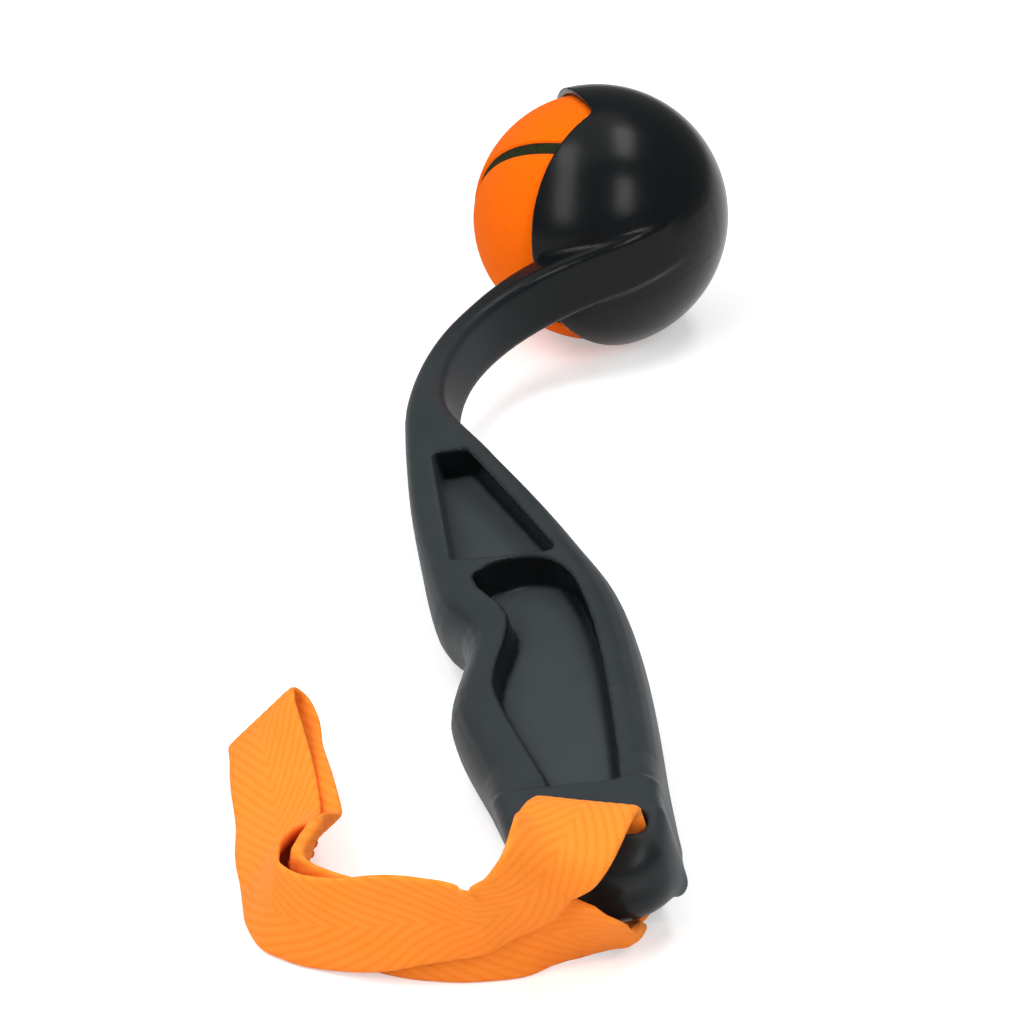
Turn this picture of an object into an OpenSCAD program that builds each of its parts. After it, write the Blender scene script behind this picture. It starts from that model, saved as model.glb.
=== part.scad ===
// Dog ball launcher lying on the floor, with its ball in the cup and its wrist strap through the pommel.
// The launcher is drawn in its own frame: Y runs along the handle from the pommel's end to the cup,
// X points to the back of the hand and Z stands square to the swing. It is then laid down as it rests:
// on the ball and on the pommel's lower edge.

/* [Ball] */
// diameter of the ball over its felt
ball_d = 65; // [60:0.5:70]
// thickness of the felt cover
felt_t = 3.2; // [2.5:0.1:4]
// wall of the hollow rubber core
core_wall = 3.5; // [2.5:0.1:5]
// width of the cement seam between the felt panels
seam_w = 1.9; // [1:0.1:3]
// depth of the seam below the felt
seam_drop = 0.4; // [0.2:0.1:1]
// shape of the seam: how far it swings off the equator
seam_bend = 0.25; // [0.15:0.01:0.25]
// turn of the ball in the cup about three axes
ball_turn = [-90, -27, 49];

/* [Cup] */
// play between the ball and the cup
cup_play = 0.5; // [0.3:0.1:1]
// wall of the cup
cup_wall = 2; // [1.6:0.1:3.5]
// sideways reach of the cup's centre from the handle's axis
cup_x = 61; // [50:1:75]
// distance of the cup's centre from the pommel's end
cup_y = 302; // [270:1:360]
// heading of the near jaw's rim
near_heading = 210; // [200:1:220]
// distance of the near jaw's rim from the cup's centre
near_reach = 12; // [5:0.1:16]
// heading of the far jaw's rim
far_heading = 99; // [92:1:115]
// distance of the far jaw's rim from the cup's centre
far_reach = 5.2; // [0:0.1:10]
// radius in the corner of the jaws
jaw_corner = 4; // [2:0.5:8]

/* [Handle] */
// front edge of the pommel from the handle's axis
pommel_front = 19; // [16:0.5:24]
// back edge of the pommel from the handle's axis
pommel_back = 12.8; // [10:0.2:20]
// length of the pommel along the handle's axis
pommel_len = 30; // [26:0.5:40]
// thickness of the pommel between its flat faces
pommel_t = 22; // [19:0.5:26]
// radius of the pommel's edges
pommel_edge = 3.5; // [2:0.25:5]
// how far the pommel's end falls back towards its front edge
pommel_bow = 8; // [1:0.5:10]
// how far the pommel's end falls back towards its rounded back corner
pommel_round = 14; // [8:0.5:18]
// thickness of the rounded nose at the pommel's end
nose_t = 16; // [12:0.5:18]
// length of the rounded nose at the pommel's end
nose_len = 4; // [3:0.25:6]
// depth of the groove behind the nose
groove = 0.8; // [0:0.1:1.5]
// slant of the pommel's collar and of the strap slot
collar_slant = 23; // [10:1:30]
// thickness of the handle behind the pommel
waist_t = 19.6; // [16:0.2:21]
// thickness of the grip
grip_t = 20.8; // [17:0.2:24]
// radius of the grip's edges
grip_edge = 8.6; // [5:0.2:9.4]
// distance of the palm swell from the pommel's end
palm_y = 76; // [66:1:84]
// reach of the palm swell from the handle's axis
palm_front = 22; // [19:0.5:26]
// distance of the finger notch from the pommel's end
notch_y = 105; // [98:1:110]
// reach of the finger notch's bottom from the handle's axis
notch_front = 13.5; // [11:0.5:18]
// distance of the finger guard from the pommel's end
guard_y = 122; // [116:1:130]
// reach of the finger guard from the handle's axis
guard_front = 17.5; // [15:0.5:22]
// distance of the widest part of the back from the pommel's end
back_y = 103; // [90:1:115]
// reach of the handle's back from the handle's axis
back_out = 22; // [18:0.5:26]
// distance of the neck's end from the pommel's end
neck_y = 212; // [200:1:225]
// reach of the neck's front from the handle's axis
neck_front = 7; // [5:0.5:10]
// reach of the neck's back from the handle's axis
neck_back = 4; // [2:0.5:8]
// thickness of the neck
neck_t = 20; // [16:0.5:22]
// radius of the neck's edges
neck_edge = 3.2; // [2:0.1:5]

/* [Arm] */
// thickness of the arm in the swing plane
arm_t = 7; // [5:0.25:10]
// thickness of the arm where it runs into the cup
arm_root_t = 10; // [8:0.25:12]
// width of the arm across the swing plane
arm_w = 15.5; // [12:0.5:22]
// radius of the arm's edges
arm_edge = 2.4; // [1:0.1:3]
// how far the arm runs straight on from the neck before it bends
arm_lead = 30; // [20:1:45]
// how far the arm runs straight into the cup after its bend
arm_trail = 38; // [25:1:50]
// height of the arm's band over the cup
band_rise = 1.2; // [0.6:0.1:2]
// where the arm's band starts on the cup, as a turn about the cup's centre
band_from = -3; // [-10:1:5]
// where the arm's band dies out on the cup
band_to = 42; // [25:1:48]

/* [Grip recess and neck pocket] */
// depth of the grip recess at its far end
recess_deep = 8; // [4:0.25:8.5]
// depth of the grip recess at the pommel
recess_shallow = 2.8; // [1:0.2:5]
// width of the rim between the recess and the handle's front edge
front_rim = 11.7; // [9:0.1:13]
// width of the rim between the recess and the handle's back edge
back_rim = 7.4; // [5:0.1:9]
// depth of the pocket in the neck
pocket_deep = 8; // [3:0.25:8.5]
// corner radius of the pocket
pocket_corner = 2; // [0.5:0.25:3]

/* [Strap] */
// width of the webbing
strap_w = 20; // [15:0.5:25]
// thickness of the webbing
strap_t = 1.6; // [1:0.1:2]
// play of the webbing at the slot's ends
slot_play = 0.8; // [0.5:0.1:3]
// width of the slot across the webbing
slot_gap = 4.6; // [3.6:0.1:6]
// distance of the slot from the pommel's end
slot_y = 17; // [15:0.5:19]
// distance of the slot's middle from the handle's axis
slot_x = -2; // [-4:0.5:1]
// length of the sewn lap where the webbing's ends meet
lap_len = 14; // [8:1:16]
// spacing of the stitches in the lap
stitch_pitch = 2.4; // [2:0.1:4]
// length of a stitch
stitch_len = 1.7; // [1:0.1:1.9]
// thickness of the thread
thread_d = 0.6; // [0.4:0.1:1]
// air between pieces that only lie on each other
rest_gap = 0.3; // [0.1:0.05:0.6]

/* [Hidden] */
$fn = 96;
glue = 0.05;
ball_r = ball_d / 2;
core_r = ball_r - felt_t - glue;
cup_in = ball_r + cup_play;
cup_out = cup_in + cup_wall;
pommel_h = pommel_t / 2;
face_stock = 0.3;
slot_len = strap_w + 2 * slot_play;

// Smooth curve through rows of [position, value, slope].
function hermite(a, b, t) =
    let (d = b[0] - a[0])
    a[1] * (1 + 2 * t) * pow(1 - t, 2)
    + a[2] * d * t * pow(1 - t, 2)
    + b[1] * t * t * (3 - 2 * t)
    - b[2] * d * t * t * (1 - t);

function span(rows, p, i = 0) = i < len(rows) - 2 && p > rows[i + 1][0] ? span(rows, p, i + 1) : i;

function along(rows, p) =
    let (i = span(rows, p))
    let (q = min(max(p, rows[0][0]), rows[len(rows) - 1][0]))
    hermite(rows[i], rows[i + 1], (q - rows[i][0]) / (rows[i + 1][0] - rows[i][0]));

// The handle's edges, thickness and edge radius along its axis.
front_edge = [
    [0, -pommel_front, 0],
    [pommel_len + 4, -pommel_front, 0],
    [palm_y, -palm_front, 0],
    [notch_y, -notch_front, 0],
    [guard_y, -guard_front, 0],
    [guard_y + 24, -guard_front + 1.8, 0.1],
    [neck_y, -neck_front, 0.16]
];
back_edge = [
    [0, pommel_back - 1.5, 0.06],
    [pommel_len - 6, pommel_back, 0.14],
    [back_y, back_out, 0],
    [back_y + 30, back_out - 3.4, -0.16],
    [neck_y - 34, neck_back + 5.6, -0.16],
    [neck_y, neck_back, -0.06]
];
half_t = [
    [0, pommel_h + face_stock, 0],
    [pommel_len, pommel_h + face_stock, 0],
    [pommel_len + 3, waist_t / 2, -0.03],
    [palm_y, grip_t / 2, 0],
    [guard_y, grip_t / 2, 0],
    [neck_y, neck_t / 2, -0.05]
];
edge_r = [
    [0, pommel_edge, 0],
    [pommel_len, pommel_edge, 0],
    [pommel_len + 16, grip_edge - 1, 0.05],
    [palm_y, grip_edge, 0],
    [guard_y, grip_edge, 0],
    [guard_y + 50, neck_edge, 0],
    [neck_y, neck_edge, 0]
];
slant = [
    [pommel_len + 4, tan(collar_slant), 0],
    [palm_y, 0, 0]
];
function bow(y, s) = (s > 0 ? pommel_round : pommel_bow) * s * s * max(0, 1 - y / pommel_len);

// One ring of the moulding: a rounded bar, w wide and 2 h thick, as [across, up].
ring_arc = 5;
ring_flat = 4;
function bar_corner(w, h, r, c) = [
    for (k = [0:ring_arc])
        let (a = c[2] + 90 * k / ring_arc)
        [w / 2 + c[0] * (w / 2 - r) + r * cos(a), c[1] * (h - r) + r * sin(a)]
];
function bar_flat(w, h, r, c) = [
    for (k = [1:ring_flat])
        [w / 2 + c[0] * (w / 2 - r) * (1 - 2 * k / (ring_flat + 1)), c[1] * h]
];
function rounded_bar(w, h, r) = [
    for (c = [[1, 1, 0], [-1, 1, 90], [-1, -1, 180], [1, -1, 270]])
        each concat(bar_corner(w, h, r, c), c[0] == c[1] ? bar_flat(w, h, r, c) : [])
];

// A ring across the handle at y. At the pommel's end it is drawn in by an inset and has its own height.
function handle_ring(y, inset = 0, high = 0) =
    let (k = along(slant, y))
    let (f = along(front_edge, y + k * pommel_front) + inset)
    let (b = along(back_edge, y - k * pommel_back) - inset)
    let (h = high > 0 ? high : along(half_t, y))
    let (r = min(along(edge_r, y), h - 0.4))
    [
        for (q = rounded_bar(b - f, h, r))
            let (x = f + q[0])
            let (s = (x - (f + b) / 2) / ((b - f) / 2 + inset))
            [x, y - k * x + bow(y, s), q[1]]
    ];

// The pommel's end: a rounded nose, a groove behind it and a step up to the flat faces,
// as [along, inset, height].
nose_h = nose_t / 2;
nose_from = 2.8;
step_from = nose_from + nose_len;
nose_rows = [for (a = [12:13:90]) [step_from - nose_len * cos(a), 6 * (1 - sin(a)), nose_h * sin(a)]];
step_len = 4;
step_rows = [
    [step_from + 0.35 * step_len, groove, nose_h - groove],
    [step_from + 0.6 * step_len, groove / 2, pommel_h - 1.7],
    [step_from + 0.8 * step_len, 0, pommel_h - 0.3],
    [step_from + step_len, 0, pommel_h + face_stock]
];
end_rows = concat(nose_rows, step_rows);

// How the launcher lies: the pommel's lower front edge and the ball on the floor.
edge_x = pommel_edge - pommel_front;
edge_z = pommel_edge - pommel_h - face_stock;
lever = norm([cup_x - edge_x, edge_z]);
rest_roll = asin((ball_r - pommel_edge) / lever) - atan2(-edge_z, cup_x - edge_x);
front_out = (grip_edge - palm_front) * cos(rest_roll) - (grip_t / 2 - grip_edge) * sin(rest_roll) - grip_edge;
end_y = min([for (e = end_rows) for (p = handle_ring(e[0], e[1], e[2])) p.y]);
mid_x = (front_out + cup_x * cos(rest_roll) + cup_out) / 2;
mid_y = (end_y + cup_y + cup_out) / 2;
lift = ball_r - cup_x * sin(rest_roll);

// A point of the launcher's own frame, where it comes to lie.
function laid(p) = [
    p.x * cos(rest_roll) - p.z * sin(rest_roll) - mid_x,
    p.y - mid_y,
    p.x * sin(rest_roll) + p.z * cos(rest_roll) + lift
];

// The arm's inner edge: one curve from the neck's back to the underside of the cup.
band_r = cup_out + band_rise;
cup_c = [cup_x, cup_y];
function on_cup(a, r) = cup_c + r * [sin(a), -cos(a)];
arm_a = [neck_back, neck_y];
arm_d = on_cup(band_from, band_r);
arm_b = arm_a + arm_lead * [0.03, 1];
arm_c = arm_d - arm_trail * [cos(band_from), sin(band_from)];
function arm_at(t) =
    pow(1 - t, 3) * arm_a + 3 * t * pow(1 - t, 2) * arm_b + 3 * t * t * (1 - t) * arm_c + pow(t, 3) * arm_d;
function arm_way(t) =
    let (d = pow(1 - t, 2) * (arm_b - arm_a) + 2 * t * (1 - t) * (arm_c - arm_b) + t * t * (arm_d - arm_c))
    d / norm(d);
arm_thick = [
    [0, neck_front + neck_back, -20],
    [0.35, arm_t + 0.2, -2],
    [0.55, arm_t, 0],
    [0.85, arm_root_t, 4],
    [1, arm_root_t, 0]
];
arm_half = [
    [0, neck_t / 2, -6],
    [0.45, arm_w / 2, 0],
    [1, arm_w / 2, 0]
];
arm_round = [
    [0, neck_edge, 0],
    [0.4, arm_edge, 0],
    [1, arm_edge, 0]
];
function flat_ring(p, way, w, h, r) = [
    for (q = rounded_bar(w, h, r))
        let (n = [way.y, -way.x])
        let (e = p + (q[0] - w) * n)
        [e.x, e.y, q[1]]
];
function arm_ring(t) =
    flat_ring(arm_at(t), arm_way(t), along(arm_thick, t), along(arm_half, t), along(arm_round, t));

// The arm's end: a band that hugs the cup and sinks into its wall.
function band_ring(a) =
    let (u = (a - band_from) / (band_to - band_from))
    let (r = band_r - (band_rise + cup_wall / 2) * u)
    let (h = arm_w / 2 - 1.3 * u)
    flat_ring(on_cup(a, r), [cos(a), sin(a)], arm_root_t, h, arm_edge * (1 - u / 2));

body_from = step_from + step_len;
body_rings = concat(
    [for (e = end_rows) handle_ring(e[0], e[1], e[2])],
    [for (i = [1:6]) handle_ring(body_from + (pommel_len - body_from) * i / 6)],
    [for (i = [1:4]) handle_ring(pommel_len + i)],
    [for (i = [1:36]) handle_ring(pommel_len + 4 + (neck_y - pommel_len - 6) * i / 36)],
    [for (i = [1:24]) arm_ring(i / 24)],
    [for (i = [1:7]) band_ring(band_from + (band_to - band_from) * i / 7)]
);

function total(list, i = 0) = i < len(list) - 1 ? list[i] + total(list, i + 1) : list[i];

// Skin over a row of rings, with a fan at each end.
module skin(rings) {
    n = len(rings[0]);
    m = len(rings);
    points = concat([for (ring = rings) each ring], [total(rings[0]) / n, total(rings[m - 1]) / n]);
    sides = [
        for (i = [0:m - 2])
            for (j = [0:n - 1])
                let (k = (j + 1) % n)
                each [
                    [i * n + j, i * n + k, (i + 1) * n + j],
                    [i * n + k, (i + 1) * n + k, (i + 1) * n + j]
                ]
    ];
    near_fan = [for (j = [0:n - 1]) [n * m, (j + 1) % n, j]];
    far_fan = [for (j = [0:n - 1]) [n * m + 1, (m - 1) * n + j, (m - 1) * n + (j + 1) % n]];
    polyhedron(points, concat(sides, near_fan, far_fan), convexity = 8);
}

// Jaws: the cup is a hollow ball with a wedge cut out, whose corner is rounded.
module jaw_wedge() {
    n1 = [cos(near_heading + 90), sin(near_heading + 90)];
    n2 = [cos(far_heading - 90), sin(far_heading - 90)];
    d1 = near_reach - jaw_corner;
    d2 = far_reach - jaw_corner;
    det = n1.x * n2.y - n1.y * n2.x;
    c = [(d1 * n2.y - d2 * n1.y) / det, (d2 * n1.x - d1 * n2.x) / det];
    a1 = near_heading + 90 - 360;
    a2 = far_heading - 90;
    reach = 3 * cup_out;
    linear_extrude(height = 3 * cup_out, center = true)
        polygon(concat(
            [c + jaw_corner * n1 + reach * [cos(near_heading), sin(near_heading)]],
            [for (k = [0:10]) let (a = a1 + (a2 - a1) * k / 10) c + jaw_corner * [cos(a), sin(a)]],
            [c + jaw_corner * n2 + reach * [cos(far_heading), sin(far_heading)]],
            [reach * [cos((near_heading + far_heading) / 2), sin((near_heading + far_heading) / 2)]]
        ));
}

module cup() {
    translate([cup_x, cup_y, 0])
        difference() {
            sphere(cup_out);
            jaw_wedge();
        }
}

// A closed outline with rounded corners, from rows of [x, y, radius].
function corner(a, b, c) =
    let (u = ([a.x, a.y] - [b.x, b.y]) / norm([a.x - b.x, a.y - b.y]))
    let (v = ([c.x, c.y] - [b.x, b.y]) / norm([c.x - b.x, c.y - b.y]))
    let (half = acos(u * v) / 2)
    let (m = [b.x, b.y] + b[2] / sin(half) * (u + v) / norm(u + v))
    let (from = [b.x, b.y] + b[2] / tan(half) * u - m)
    let (to = [b.x, b.y] + b[2] / tan(half) * v - m)
    let (a0 = atan2(from.y, from.x))
    let (turn = (atan2(to.y, to.x) - a0 + 540) % 360 - 180)
    [for (k = [0:6]) m + b[2] * [cos(a0 + turn * k / 6), sin(a0 + turn * k / 6)]];

function rounded(rows) = [
    for (i = [0:len(rows) - 1])
        each corner(rows[(i + len(rows) - 1) % len(rows)], rows[i], rows[(i + 1) % len(rows)])
];

// Grip recess: it follows the handle's edges on both sides and ends in a round beside the finger guard.
recess_near = pommel_len + 1;
recess_far = guard_y + 4;
function recess_front(y) = [along(front_edge, y) + front_rim, y];
function recess_back(y) = [along(back_edge, y) - back_rim, y];
recess_side = 18;
recess_a = recess_front(recess_far - 2.5);
recess_b = [-7, recess_far + 3];
recess_c = [14.5, recess_far + 5];
recess_d = recess_back(recess_far - 21);
function recess_end(t) =
    pow(1 - t, 3) * recess_a + 3 * t * pow(1 - t, 2) * recess_b
    + 3 * t * t * (1 - t) * recess_c + pow(t, 3) * recess_d;
recess_outline = concat(
    [
        for (i = [1:recess_side])
            recess_front(recess_near + 4 + (recess_far - recess_near - 6.5) * i / recess_side)
    ],
    [for (i = [1:12]) recess_end(i / 12)],
    [for (i = [1:10]) recess_back(recess_d.y - (recess_d.y - recess_near + 3) * i / 10)],
    [recess_front(recess_near + 4)]
);
module recess() {
    tilt = atan2(recess_deep - recess_shallow, recess_far - recess_near);
    translate([0, recess_near, waist_t / 2 - recess_shallow])
        rotate([-tilt, 0, 0])
            translate([0, -recess_near, 0])
                linear_extrude(height = pommel_t)
                    polygon(recess_outline);
}

// Pocket in the neck: a long triangle with its tip cut off, left bare.
module pocket() {
    translate([0, 0, grip_t / 2 - pocket_deep])
        linear_extrude(height = pommel_t)
            polygon(rounded([
                [-4, neck_y - 26, 1],
                [4, neck_y - 30, pocket_corner],
                [14, guard_y, pocket_corner],
                [-9, guard_y + 13, 1]
            ]));
}

module both_faces() {
    children();
    mirror([0, 0, 1])
        children();
}

// Slot for the strap, with round ends.
module slot() {
    translate([slot_x, slot_y, 0])
        rotate([0, 0, -collar_slant])
            linear_extrude(height = 2 * pommel_t, center = true) {
                square([slot_len - slot_gap, slot_gap], center = true);
                for (s = [-1, 1])
                    translate([s * (slot_len - slot_gap) / 2, 0])
                        circle(slot_gap / 2);
            }
}

module in_place() {
    translate([-mid_x, -mid_y, lift])
        rotate([0, -rest_roll, 0])
            children();
}

module launcher_body() {
    color([0.16, 0.17, 0.18])
        in_place()
            difference() {
                union() {
                    skin(body_rings);
                    cup();
                }
                translate([cup_x, cup_y, 0])
                    sphere(cup_in);
                both_faces() {
                    recess();
                    pocket();
                    translate([-2 * pommel_front, -pommel_len, pommel_h])
                        cube([4 * pommel_front, 3 * pommel_len, pommel_h]);
                }
                slot();
            }
}

// The ball: a hollow rubber core in two halves, two dog-bone felt panels and the seam between them.
module ball_place() {
    in_place()
        translate([cup_x, cup_y, 0])
            rotate(ball_turn)
                children();
}

module core_half(s) {
    difference() {
        sphere(core_r);
        sphere(core_r - core_wall);
        translate([0, 0, -s * ball_r])
            cube([2 * ball_d, 2 * ball_d, ball_d], center = true);
    }
}

module ball_core_a() {
    color([0.55, 0.45, 0.4])
        ball_place()
            core_half(1);
}

module ball_core_b() {
    color([0.5, 0.42, 0.38])
        ball_place()
            core_half(-1);
}

// The seam's line on a ball of radius 1, and the direction across it.
function seam_at(t) = [
    (1 - seam_bend) * cos(t) + seam_bend * cos(3 * t),
    (1 - seam_bend) * sin(t) - seam_bend * sin(3 * t),
    2 * sqrt(seam_bend * (1 - seam_bend)) * sin(2 * t)
];
function seam_across(t) =
    let (d = cross(seam_at(t), seam_at(t + 0.5) - seam_at(t - 0.5)))
    d / norm(d);
seam_steps = 60;

// The cone that a panel cuts from the ball; s picks the panel, off draws its edge in.
module panel_cone(s, off) {
    line = [
        for (i = [0:seam_steps - 1])
            let (t = 360 * i / seam_steps)
            let (q = seam_at(t) + s * off / ball_r * seam_across(t))
            2.4 * ball_r * q / norm(q)
    ];
    points = concat(line, [[0, 0, 0], [0, 0, s * 14 * ball_r]]);
    n = seam_steps;
    faces = [
        for (i = [0:n - 1])
            let (j = (i + 1) % n)
            each s > 0
                ? [[n, i, j], [n + 1, j, i]]
                : [[n, j, i], [n + 1, i, j]]
    ];
    polyhedron(points, faces, convexity = 6);
}

module felt_panel(s) {
    intersection() {
        difference() {
            sphere(ball_r);
            sphere(core_r + glue);
        }
        panel_cone(s, seam_w / 2);
    }
}

module felt_panel_a() {
    color([1, 0.43, 0.02])
        ball_place()
            felt_panel(1);
}

module felt_panel_b() {
    color([0.95, 0.4, 0.02])
        ball_place()
            felt_panel(-1);
}

module felt_seam() {
    color([0.12, 0.07, 0.05])
        ball_place()
            difference() {
                sphere(ball_r - seam_drop);
                sphere(core_r + glue);
                panel_cone(1, seam_w / 2);
                panel_cone(-1, seam_w / 2);
            }
}

// The strap: a closed ribbon through the slot. Each row is a point on its middle line, seen from under the
// pommel's end, and the way its width points there, with the share of its width where it is gathered.
slot_way = laid([cos(collar_slant), -sin(collar_slant), 0]) - laid([0, 0, 0]);
function slot_point(z) = laid([slot_x, slot_y, z]);
function unit(v) = v / norm(v);
strap_from = [-mid_x, -mid_y, 0];
stand = strap_w / 2 + rest_gap;
upright = [0, 0, -1];

// The fold at the loop's far end: its middle, the webbing's three directions there and the bend's radius.
fold_r = 1.7;
fold_mid = strap_from + [-58.3, 93.8, 9.9];
fold_across = unit([-0.7, 0.1, -0.7]);
fold_along = unit([0, 1, 0] - fold_across.y * fold_across);
fold_face = cross(fold_across, fold_along);
function fold_row(n, t) = [fold_mid + n * fold_face + t * fold_along, fold_across];

strap_rows = [
    [slot_point(-6), slot_way],
    [slot_point(6), slot_way],
    [slot_point(pommel_h + 1.5), [0.9, -0.39, 0.2]],
    [strap_from + [-6.6, 14.2, 31], [0.9, -0.42, 0.02]],
    [strap_from + [-9.6, 8.6, 32.6], [0.9, -0.36, -0.1]],
    [strap_from + [-13.3, 2.6, 31.9], [0.91, -0.2, -0.22]],
    [strap_from + [-16.9, -1.4, 30.3], [0.84, 0.06, -0.44]],
    [strap_from + [-20.1, -3.5, 27.3], [0.7, 0.2, -0.66]],
    [strap_from + [-23, -3, 23.4], [0.46, 0.3, -0.83]],
    [strap_from + [-26.8, -1.2, 19.8], [0.22, 0.38, -0.9]],
    [strap_from + [-31.6, -0.2, 17.6], [0.05, 0.32, -0.95]],
    [strap_from + [-37.4, 2.4, 17], [-0.04, 0.2, -0.98]],
    [strap_from + [-44.2, 6.2, 15.4], [-0.1, 0.08, -0.99]],
    [strap_from + [-51, 10.8, 12.4], [-0.06, -0.02, -1]],
    [strap_from + [-56.6, 14.4, 11], [-0.02, -0.04, -1]],
    [strap_from + [-61.6, 17.9, 10.4], [-0.08, 0, -1]],
    [strap_from + [-64.9, 21.4, 10.4], [-0.11, 0, -0.99]],
    [strap_from + [-66.9, 26, 10.2], [-0.22, 0, -0.97]],
    [strap_from + [-67, 33, 9.9], [-0.36, 0, -0.93]],
    [strap_from + [-65.3, 40, 9.2], [-0.53, 0.03, -0.85]],
    [strap_from + [-62.6, 48, 8], [-0.79, 0, -0.61]],
    [strap_from + [-61.3, 56, 6.8], [-0.88, 0, -0.48]],
    [strap_from + [-60.1, 68, 7], [-0.83, 0, -0.56]],
    [strap_from + [-60, 80, 9.2], [-0.78, 0.03, -0.62]],
    fold_row(-fold_r, -5),
    fold_row(-fold_r, -2),
    fold_row(-fold_r, 0),
    fold_row(-fold_r / 2, fold_r * 0.87),
    fold_row(fold_r / 2, fold_r * 0.87),
    fold_row(fold_r, 0),
    fold_row(fold_r, -2),
    fold_row(fold_r, -5),
    [strap_from + [-57.5, 80, 7.6], [-0.76, 0.03, -0.65]],
    [strap_from + [-56.7, 68, 6.6], [-0.83, 0, -0.56]],
    [strap_from + [-57, 56, 6], [-0.87, 0, -0.49]],
    [strap_from + [-57.4, 48.4, 7.4], [-0.77, 0, -0.64]],
    [strap_from + [-58.6, 41, 9.6], [-0.45, 0, -0.89]],
    [strap_from + [-60.2, 33, stand], [-0.2, 0, -0.98]],
    [strap_from + [-60.6, 28, stand], upright],
    [strap_from + [-59.4, 23, stand], upright],
    [strap_from + [-55.6, 18.4, stand], upright],
    [strap_from + [-50, 13.8, stand], upright],
    [strap_from + [-43.5, 9.4, stand], upright],
    [strap_from + [-37.5, 6.9, stand], upright],
    [strap_from + [-31.5, 5.3, stand], upright],
    [strap_from + [-22.4, 4.7, stand], upright],
    [strap_from + [-15.6, 4.4, 10.2], [0, 0.22, -0.98]],
    [strap_from + [-9.1, 3.8, 9.2], [0.05, 0.45, -0.89], 0.94],
    [strap_from + [-3.6, 4, 7.5], [0.05, 0.6, -0.8], 0.78],
    [strap_from + [-0.1, 5, 4.8], [0.1, 0.32, -0.93], 0.42],
    [strap_from + [1.6, 9.2, 3.2], [0.75, 0.1, -0.65], 0.36],
    [strap_from + [1.6, 12.2, 2.4], [0.95, -0.12, 0.14], 0.4],
    [strap_from + [1.3, 14.8, 2.4], [0.88, -0.3, 0.25], 0.6],
    [slot_point(-pommel_h - 0.6), slot_way, 0.8]
];

// Closed smooth curve through the rows, evaluated at row u.
function blend_rows(k, u) =
    let (n = len(strap_rows))
    let (i = floor(u))
    let (t = u - i)
    let (p = [for (j = [-1:2]) strap_rows[(i + j + n) % n][k]])
    0.5 * (2 * p[1] + (p[2] - p[0]) * t + (2 * p[0] - 5 * p[1] + 4 * p[2] - p[3]) * t * t
        + (3 * p[1] - p[0] - 3 * p[2] + p[3]) * t * t * t);
function gather(i) = len(strap_rows[i]) > 2 ? strap_rows[i][2] : 1;
function strap_share(u) =
    let (n = len(strap_rows))
    let (i = floor(u))
    gather(i % n) + (gather((i + 1) % n) - gather(i % n)) * (u - i);
function strap_way(u) = unit(blend_rows(0, u + 0.02) - blend_rows(0, u - 0.02 + len(strap_rows)));
function squared(u) = min(1, max(0, 5 * strap_share(u) - 4));
function strap_across(u) =
    let (t = strap_way(u))
    let (w = unit(blend_rows(1, u)))
    unit(w - squared(u) * (w * t) * t);
function strap_face(u) = unit(cross(strap_way(u), strap_across(u)));
function in_lap(u) = abs(u - lap_row) * lap_pace < lap_len / 2;
function half_webbing(u) = (in_lap(u) ? 2 : 1) * strap_t / 2;
function strap_ring(u) =
    let (p = blend_rows(0, u))
    let (w = strap_across(u) * strap_share(u) * strap_w / 2)
    let (n = strap_face(u) * half_webbing(u))
    [p + w + n, p - w + n, p - w - n, p + w - n];
strap_steps = 6;

// The sewn lap: the row at its middle, where the webbing lies double, and the length of one row there.
lap_row = 37;
lap_pace = norm(strap_rows[lap_row + 1][0] - strap_rows[lap_row - 1][0]) / 2;

module strap_webbing() {
    rings = [for (i = [0:len(strap_rows) * strap_steps - 1]) strap_ring(i / strap_steps)];
    m = len(rings);
    faces = [
        for (i = [0:m - 1])
            for (j = [0:3])
                let (k = (j + 1) % 4)
                let (h = (i + 1) % m)
                each [
                    [i * 4 + j, h * 4 + j, i * 4 + k],
                    [i * 4 + k, h * 4 + j, h * 4 + k]
                ]
    ];
    color([1, 0.56, 0.2])
        polyhedron([for (ring = rings) each ring], faces, convexity = 10);
}

// Two rows of stitches across the lap, each stitch a short thread on both faces of the webbing.
stitch_edge = 3;
stitch_air = 0.3;
module stitch(u, across, face) {
    t = strap_way(u);
    w = strap_across(u);
    n = strap_face(u) * face;
    p = blend_rows(0, u) + w * across + n * (strap_t + thread_d / 2 + stitch_air);
    multmatrix([
        [n.x, t.x, w.x, p.x],
        [n.y, t.y, w.y, p.y],
        [n.z, t.z, w.z, p.z],
        [0, 0, 0, 1]
    ])
        cylinder(h = stitch_len, d = thread_d, center = true, $fn = 16);
}

module strap_stitching() {
    count = floor((strap_w - 2 * stitch_edge) / stitch_pitch);
    color([0.95, 0.5, 0.16])
        for (face = [-1, 1])
            for (r = [-1, 1])
                for (i = [0:count])
                    stitch(
                        lap_row + r * (lap_len / 2 - stitch_edge) / lap_pace,
                        (i - count / 2) * stitch_pitch,
                        face
                    );
}

launcher_body();
ball_core_a();
ball_core_b();
felt_panel_a();
felt_panel_b();
felt_seam();
strap_webbing();
strap_stitching();
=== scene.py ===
import math

import bmesh
import bpy
import numpy as np
from mathutils import Matrix, Vector


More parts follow.
